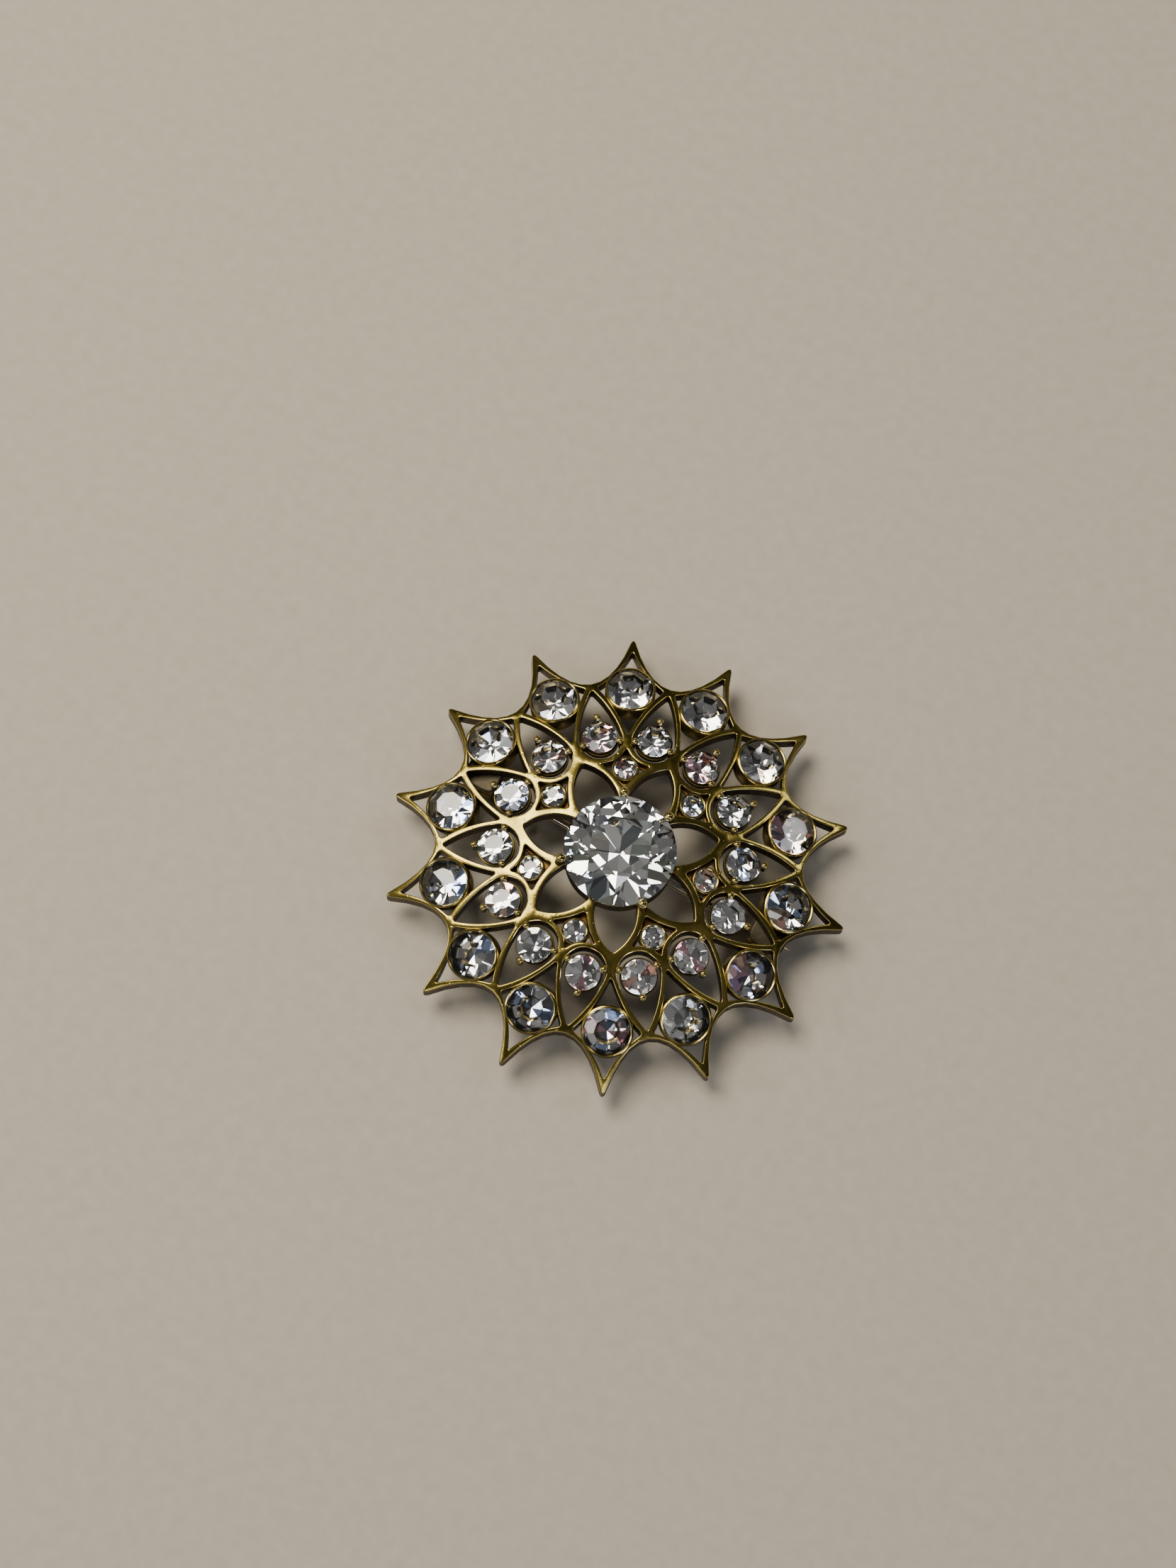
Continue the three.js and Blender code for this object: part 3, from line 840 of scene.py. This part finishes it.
def gilt_brass(name):
    """Drawn and stamped brass under thin gilding: satin, lined along its length, browner where worn."""
    material = new_material(name)
    tree = material.node_tree
    place = add_node(tree, "TexCoord").outputs["Object"]
    handled = add_node(
        tree, "TexNoise", None, {"Vector": place, "Scale": 1 / (1.6 * MM), "Detail": 5, "Roughness": 0.6}
    ).outputs["Fac"]
    lengthwise = add_node(
        tree, "Mapping", None, {"Vector": place, "Scale": (1 / (3 * MM), 1 / (0.1 * MM), 1 / (0.1 * MM))}
    ).outputs["Vector"]
    drawn = add_node(tree, "TexNoise", None, {"Vector": lengthwise, "Scale": 1, "Detail": 3}).outputs["Fac"]
    worn = add_node(
        tree, "MapRange", None, {"Value": handled, "From Min": 0.4, "From Max": 0.66}
    ).outputs["Result"]
    colour = add_node(
        tree,
        "Mix",
        {"data_type": "RGBA"},
        {"Factor": worn, MIX_A: from_hex("b3975a"), MIX_B: from_hex("7f6a3f")},
    ).outputs[MIX_RESULT]
    roughness = add_node(
        tree, "MapRange", None, {"Value": drawn, "To Min": 0.22, "To Max": 0.46}
    ).outputs["Result"]
    bump = add_node(
        tree, "Bump", None, {"Height": drawn, "Strength": 0.25, "Distance": 0.02 * MM}
    ).outputs["Normal"]
    shader = add_node(
        tree,
        "BsdfPrincipled",
        None,
        {"Base Color": colour, "Metallic": 1, "Roughness": roughness, "Normal": bump},
    ).outputs["BSDF"]
    add_node(tree, "OutputMaterial", None, {"Surface": shader})
    return material


def pad_place(x):
    """Where a pad lies: its middle, sloped as the frame's underside is above the pin's line."""
    slope = -x / math.sqrt(DOME_RADIUS**2 - x * x)
    height = dome_height(x, HINGE.y) - RIB_DEPTH - SOLDER_GAP
    return Matrix.Translation((x, HINGE.y, height)) @ Matrix.Rotation(-math.atan(slope), 4, "Y")


def pad(x, length, width, thickness):
    corners = [(-length, -width), (length, -width), (length, width), (-length, width)]
    outline = straight_outline([(u / 2, v / 2) for u, v in corners], cut=0.35)
    bm = plate(outline, [], thickness, edge=0.08)
    place = pad_place(x) @ Matrix.Translation((0, 0, -thickness / 2))
    bmesh.ops.transform(bm, matrix=place, verts=bm.verts[:])
    return bm


def cheek():
    half_length = 1.5
    neck = dome_height(HINGE.x, HINGE.y) - RIB_DEPTH - SOLDER_GAP - PAD_THICKNESS
    right_half = [(0.9, -HINGE.z), (1.3, 0.9 - HINGE.z), (half_length, neck - HINGE.z)]
    left_half = [(-x, z) for x, z in reversed(right_half)]
    bore = rounded_outline(arc(0, RIVET_RADIUS + RIVET_PLAY, 0, 2 * math.pi, pieces=4))
    outline = straight_outline(right_half + left_half, cut=0.22)
    return plate(outline, [bore], CHEEK_THICKNESS, edge=0.08)


hinge = bmesh.new()
hinge_width = EAR_GAP + 2 * CHEEK_THICKNESS
hinge_pad = pad(HINGE.x, length=3, width=hinge_width, thickness=PAD_THICKNESS + CHEEK_OVERLAP)
join(hinge, hinge_pad, Matrix.Identity(4))
cheek_offset = (EAR_GAP + CHEEK_THICKNESS) / 2
sides = [Matrix.Translation(HINGE + Vector((0, side * cheek_offset, 0))) @ STANDING for side in (-1, 1)]
join(hinge, cheek(), *sides)
brass = gilt_brass("gilt_brass")
make_piece("hinge_cheeks", hinge, [brass], "brooch", ["hinge_bracket"])


# The solder: a soft tin bead squeezed out round each pad and browned by its flux. Its edge is round, as a
# melt's is.
SOLDER_LENGTH = 3.5
SOLDER_WIDTH = 3
SOLDER_THICKNESS = 0.4
SOLDER_LIFT = -0.02


def soft_solder(name):
    """Tin solder that has been browned by its flux: dull grey-brown with a frosted skin."""
    material = new_material(name)
    tree = material.node_tree
    place = add_node(tree, "TexCoord").outputs["Object"]
    frost = add_node(
        tree, "TexNoise", None, {"Vector": place, "Scale": 1 / (0.35 * MM), "Detail": 4}
    ).outputs["Fac"]
    colour = add_node(
        tree,
        "Mix",
        {"data_type": "RGBA"},
        {"Factor": frost, MIX_A: from_hex("3e392f"), MIX_B: from_hex("5b5445")},
    ).outputs[MIX_RESULT]
    bump = add_node(
        tree, "Bump", None, {"Height": frost, "Strength": 0.4, "Distance": 0.04 * MM}
    ).outputs["Normal"]
    shader = add_node(
        tree,
        "BsdfPrincipled",
        None,
        {"Base Color": colour, "Metallic": 1, "Roughness": 0.62, "Normal": bump},
    ).outputs["BSDF"]
    add_node(tree, "OutputMaterial", None, {"Surface": shader})
    return material


solder = bmesh.new()
for x in (HINGE.x, CATCH.x):
    corners = [(SOLDER_LENGTH / 2, -SOLDER_WIDTH / 2), (SOLDER_LENGTH / 2, SOLDER_WIDTH / 2)]
    corners += [(-u, -v) for u, v in corners]
    bead = plate(straight_outline(corners, cut=0.9), [], SOLDER_THICKNESS, edge=0.19)
    join(solder, bead, pad_place(x) @ Matrix.Translation((0, 0, SOLDER_LIFT)))
make_piece("solder_beds", solder, [soft_solder("soft_solder")], "brooch")


# The rivet: a brass wire through the cheeks and the pin's eye, peened to a low dome at each end.
def rivet():
    reach = EAR_GAP / 2 + CHEEK_THICKNESS + 0.02
    head_radius = 0.62
    head_height = 0.25
    dome_steps = 6
    turns = [math.pi / 2 * i / dome_steps for i in range(dome_steps + 1)]
    head = [(head_radius * math.cos(t), reach + head_height * math.sin(t)) for t in turns]
    head[-1] = (0, reach + head_height)
    half = [(RIVET_RADIUS, 0), (RIVET_RADIUS, reach)] + head
    return turned([(r, -z) for r, z in reversed(half[1:])] + half[1:], steps=28)


rivets = bmesh.new()
join(rivets, rivet(), Matrix.Translation(HINGE) @ STANDING)
make_piece("peened_rivet", rivets, [brass], "brooch", ["hinge_rivet"])


# The pin: hard steel wire with a pale gilt wash, flattened and bored at one end, ground to a long point at
# the other.
def gilt_steel(name):
    """Drawn steel wire under a wash of gold: brighter than the brass, and grey where cloth rubs it."""
    material = new_material(name)
    tree = material.node_tree
    place = add_node(tree, "TexCoord").outputs["Object"]
    lengthwise = add_node(
        tree, "Mapping", None, {"Vector": place, "Scale": (1 / (6 * MM), 1 / (0.12 * MM), 1 / (0.12 * MM))}
    ).outputs["Vector"]
    drawn = add_node(tree, "TexNoise", None, {"Vector": lengthwise, "Scale": 1, "Detail": 3}).outputs["Fac"]
    rubbed = add_node(
        tree, "TexNoise", None, {"Vector": place, "Scale": 1 / (2.5 * MM), "Detail": 3}
    ).outputs["Fac"]
    bare = add_node(
        tree, "MapRange", None, {"Value": rubbed, "From Min": 0.45, "From Max": 0.7}
    ).outputs["Result"]
    colour = add_node(
        tree,
        "Mix",
        {"data_type": "RGBA"},
        {"Factor": bare, MIX_A: from_hex("c2ad78"), MIX_B: from_hex("a9a79f")},
    ).outputs[MIX_RESULT]
    roughness = add_node(
        tree, "MapRange", None, {"Value": drawn, "To Min": 0.16, "To Max": 0.36}
    ).outputs["Result"]
    bump = add_node(
        tree, "Bump", None, {"Height": drawn, "Strength": 0.2, "Distance": 0.01 * MM}
    ).outputs["Normal"]
    shader = add_node(
        tree,
        "BsdfPrincipled",
        None,
        {"Base Color": colour, "Metallic": 1, "Roughness": roughness, "Normal": bump},
    ).outputs["BSDF"]
    add_node(tree, "OutputMaterial", None, {"Surface": shader})
    return material


WIRE_RADIUS = 0.4
EYE_RADIUS = 0.95
EYE_THICKNESS = 0.8
EYE_PLAY = 0.07
POINT_LENGTH = 6
wire_start = 0.7
wire_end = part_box("pin_stem")[1].x / MM - HINGE.x
taper = [(0, 1), (-1.4, 0.87), (-3, 0.74), (-4.5, 0.56), (-5.4, 0.3), (-5.85, 0.12), (-POINT_LENGTH, 0)]
wire_profile = [(0, wire_start), (0.36, wire_start), (WIRE_RADIUS, wire_start + 0.5)]
wire_profile += [(WIRE_RADIUS * share, wire_end - POINT_LENGTH - back) for back, share in taper]
pin = bmesh.new()
eye_outline = rounded_outline(arc(0, EYE_RADIUS, 0, 2 * math.pi, pieces=8))
eye_bore = rounded_outline(arc(0, RIVET_RADIUS + EYE_PLAY, 0, 2 * math.pi, pieces=4))
eye = plate(eye_outline, [eye_bore], EYE_THICKNESS, edge=0.1)
join(pin, eye, Matrix.Translation(HINGE) @ STANDING)
wire_place = Matrix.Translation(HINGE) @ Matrix.Rotation(math.pi / 2, 4, "Y")
join(pin, turned(wire_profile, steps=24), wire_place)
make_piece("pin_wire", pin, [gilt_steel("gilt_steel")], "pin", ["pin_stem"])


# The safety catch: a split brass ring that opens away from the frame, under a pad of its own.
CATCH_LENGTH = 1.8
CATCH_OUTER = 1.9
CATCH_BORE = 1.25
CATCH_HALF_SLOT = 0.7
LIP_ROUNDING = 0.1
ALONG = Matrix(((0, 0, 1, 0), (1, 0, 0, 0), (0, 1, 0, 0), (0, 0, 0, 1)))
DOWN = -math.pi / 2


def split_ring(outer, bore, half_slot):
    """A ring about the origin with a slot at its foot."""
    outer_edge, bore_edge = math.asin(half_slot / outer), math.asin(half_slot / bore)
    outside = arc(0, outer, DOWN + outer_edge, DOWN - outer_edge + 2 * math.pi, 8)
    inside = arc(0, bore, DOWN - bore_edge + 2 * math.pi, DOWN + bore_edge, 8)
    outer_foot, bore_foot = Vector(outside[0][0]), Vector(inside[0][0])
    outer_end = Vector((-outer_foot.x, outer_foot.y))
    bore_end = Vector((-bore_foot.x, bore_foot.y))
    outside[0] = (outer_foot, LIP_ROUNDING, outside[0][2])
    inside[0] = (bore_foot, LIP_ROUNDING, inside[0][2])
    lips = [
        (outer_end, LIP_ROUNDING, (outer_end + bore_foot) / 2),
        (bore_end, LIP_ROUNDING, (bore_end + outer_foot) / 2),
    ]
    return rounded_outline(outside + lips[:1] + inside + lips[1:])


catch = bmesh.new()
housing = plate(split_ring(CATCH_OUTER, CATCH_BORE, CATCH_HALF_SLOT), [], CATCH_LENGTH, edge=0.08)
join(catch, housing, Matrix.Translation(CATCH) @ ALONG)
join(catch, pad(CATCH.x, length=3, width=2.6, thickness=0.5), Matrix.Identity(4))
make_piece("catch_housing", catch, [brass], "brooch", ["catch_body"])


# The catch's rotor: a slotted sleeve that turns inside the ring and locks the pin in. Its flange is milled
# so that a fingertip grips it, and a small tab turns it.
ROTOR_OUTER = 1.15
ROTOR_BORE = 0.55
ROTOR_HALF_SLOT = 0.5
FLANGE_RADIUS = 1.66
FLANGE_THICKNESS = 0.5
FLANGE_GAP = 0.15
FLANGE_RIBS = 26
RIB_HEIGHT = 0.04
SLEEVE_OVERLAP = 0.1
SLEEVE_OVERHANG = 0.2
TAB_REACH = 2.6
TAB_ROOT = 1.4


def milled_flange():
    bore_edge = math.asin(ROTOR_HALF_SLOT / ROTOR_BORE)
    outer_edge = math.asin(ROTOR_HALF_SLOT / FLANGE_RADIUS)
    steps = FLANGE_RIBS * 8
    points = []
    for i in range(steps + 1):
        turn = DOWN + outer_edge + (2 * math.pi - 2 * outer_edge) * i / steps
        radius = FLANGE_RADIUS + RIB_HEIGHT * math.cos(FLANGE_RIBS * turn)
        points.append(Vector((radius * math.cos(turn), radius * math.sin(turn))))
    inner_steps = 24
    for i in range(inner_steps + 1):
        turn = DOWN - bore_edge - (2 * math.pi - 2 * bore_edge) * i / inner_steps
        points.append(Vector((ROTOR_BORE * math.cos(turn), ROTOR_BORE * math.sin(turn))))
    return plate(points, [], FLANGE_THICKNESS, edge=0.04)


rotor = bmesh.new()
flange_end = -CATCH_LENGTH / 2 - FLANGE_GAP
flange_middle = flange_end - FLANGE_THICKNESS / 2
sleeve_start = flange_end - SLEEVE_OVERLAP
sleeve_end = CATCH_LENGTH / 2 + SLEEVE_OVERHANG
sleeve_outline = split_ring(ROTOR_OUTER, ROTOR_BORE, ROTOR_HALF_SLOT)
sleeve = plate(sleeve_outline, [], sleeve_end - sleeve_start, edge=0.06)
join(rotor, sleeve, Matrix.Translation(CATCH + Vector(((sleeve_start + sleeve_end) / 2, 0, 0))) @ ALONG)
flange_place = Matrix.Translation(CATCH + Vector((flange_middle, 0, 0))) @ ALONG
join(rotor, milled_flange(), flange_place)
tab_corners = [(-TAB_REACH, -0.33), (-TAB_ROOT, -0.45), (-TAB_ROOT, 0.45), (-TAB_REACH, 0.33)]
tab = plate(straight_outline(tab_corners, cut=0.22), [], FLANGE_THICKNESS, edge=0.1)
join(rotor, tab, flange_place)
make_piece("catch_sleeve", rotor, [brass], "rotor", ["catch_rotor"])


# The floor: a plain pale board, with the faint tooth of matt paint. It isn't part of the brooch.
FLOOR_REACH = 1.5


def matt_board(name):
    """Board under matt paint: no shine, and a tooth drawn coarse enough to show."""
    material = new_material(name)
    tree = material.node_tree
    place = add_node(tree, "TexCoord").outputs["Object"]
    tooth = add_node(
        tree, "TexNoise", None, {"Vector": place, "Scale": 1 / (1.2 * MM), "Detail": 4}
    ).outputs["Fac"]
    colour = add_node(
        tree,
        "Mix",
        {"data_type": "RGBA"},
        {"Factor": tooth, MIX_A: from_hex("928b7e"), MIX_B: from_hex("a19a8d")},
    ).outputs[MIX_RESULT]
    bump = add_node(
        tree, "Bump", None, {"Height": tooth, "Strength": 0.2, "Distance": 0.05 * MM}
    ).outputs["Normal"]
    shader = add_node(
        tree, "BsdfPrincipled", None, {"Base Color": colour, "Roughness": 0.85, "Normal": bump}
    ).outputs["BSDF"]
    add_node(tree, "OutputMaterial", None, {"Surface": shader})
    return material


board = bmesh.new()
bmesh.ops.create_grid(board, x_segments=1, y_segments=1, size=FLOOR_REACH)
floor_mesh = bpy.data.meshes.new("floor")
board.to_mesh(floor_mesh)
board.free()
floor_mesh.materials.append(matt_board("matt_board"))
floor = bpy.data.objects.new("floor", floor_mesh)
bpy.context.scene.collection.objects.link(floor)


# Light: a big soft window high on the left of the star, a weak fill from the other side, and pale cards
# that the facets pick up, in a grey studio that is unevenly lit overhead.
def panel(name, place, size, power, colour):
    """A round panel of light, in metres and watts, turned towards the brooch."""
    light = bpy.data.lights.new(name, "AREA")
    light.shape = "DISK"
    light.size = size
    light.energy = power
    light.color = from_hex(colour)[:3]
    lamp = bpy.data.objects.new(name, light)
    lamp.location = place
    lamp.rotation_euler = Vector(place).to_track_quat("Z", "Y").to_euler()
    bpy.context.scene.collection.objects.link(lamp)


panel("window", (-0.19, 0.05, 0.41), 0.23, 3.0, "fff6e4")
panel("fill", (0.34, -0.18, 0.24), 0.12, 0.2, "dfe8ff")
panel("card_low", (0.14, -0.24, 0.40), 0.14, 0.3, "f4f6ff")
panel("card_left", (-0.34, -0.16, 0.26), 0.13, 0.4, "fff6e6")
panel("card_front", (-0.12, -0.28, 0.36), 0.12, 0.25, "ffffff")
panel("card_high", (0.14, 0.26, 0.36), 0.12, 0.25, "ffffff")

world = bpy.data.worlds.new("studio")
world.use_nodes = True
studio = world.node_tree
direction = add_node(studio, "TexCoord").outputs["Generated"]
towards_window = add_node(
    studio, "VectorMath", {"operation": "DOT_PRODUCT"}, {0: direction, 1: (-0.6, 0.15, 0.8)}
).outputs["Value"]
lit = add_node(
    studio, "MapRange", None, {"Value": towards_window, "From Min": -0.2, "From Max": 0.9}
).outputs["Result"]
cards = add_node(studio, "TexNoise", None, {"Vector": direction, "Scale": 2.8, "Detail": 1}).outputs["Fac"]
shading = {"Value": cards, "From Min": 0.4, "From Max": 0.6, "To Min": 0.2, "To Max": 1.4}
uneven = add_node(studio, "MapRange", None, shading).outputs["Result"]
ceiling = add_node(studio, "Math", {"operation": "MULTIPLY"}, {0: lit, 1: uneven}).outputs[0]
height = add_node(studio, "SeparateXYZ", None, {"Vector": direction}).outputs["Z"]
overhead = add_node(
    studio, "MapRange", None, {"Value": height, "From Min": 0.2, "From Max": 0.6}
).outputs["Result"]
low_walls = 0.4
shares = {0: overhead, 2: low_walls, 3: ceiling}
brightness = add_node(studio, "Mix", {"data_type": "FLOAT"}, shares).outputs[0]
walls = add_node(
    studio,
    "Mix",
    {"data_type": "RGBA"},
    {"Factor": brightness, MIX_A: from_hex("171a22"), MIX_B: from_hex("b5b3ae")},
).outputs[MIX_RESULT]
studio.links.new(walls, studio.nodes["Background"].inputs["Color"])
studio.nodes["Background"].inputs["Strength"].default_value = 0.6
bpy.context.scene.world = world


# Camera: above the brooch and a little below it in plan, looking down on its front.
CAMERA_RIGHT = Vector((0.86805, 0.49597, 0.02244))
CAMERA_UP = Vector((-0.48311, 0.83342, 0.26835))
CAMERA_PLACE = Vector((17.56, -45.21, 201.86))
LENS = 51.98
camera_data = bpy.data.cameras.new("camera")
camera_data.lens = LENS
camera_data.sensor_width = 36
camera_data.clip_start = 0.01
camera = bpy.data.objects.new("camera", camera_data)
camera_axes = Matrix((CAMERA_RIGHT, CAMERA_UP, CAMERA_RIGHT.cross(CAMERA_UP)))
camera_turn = camera_axes.transposed().to_4x4()
camera.matrix_world = Matrix.Translation(CAMERA_PLACE * MM) @ camera_turn
bpy.context.scene.collection.objects.link(camera)
bpy.context.scene.camera = camera
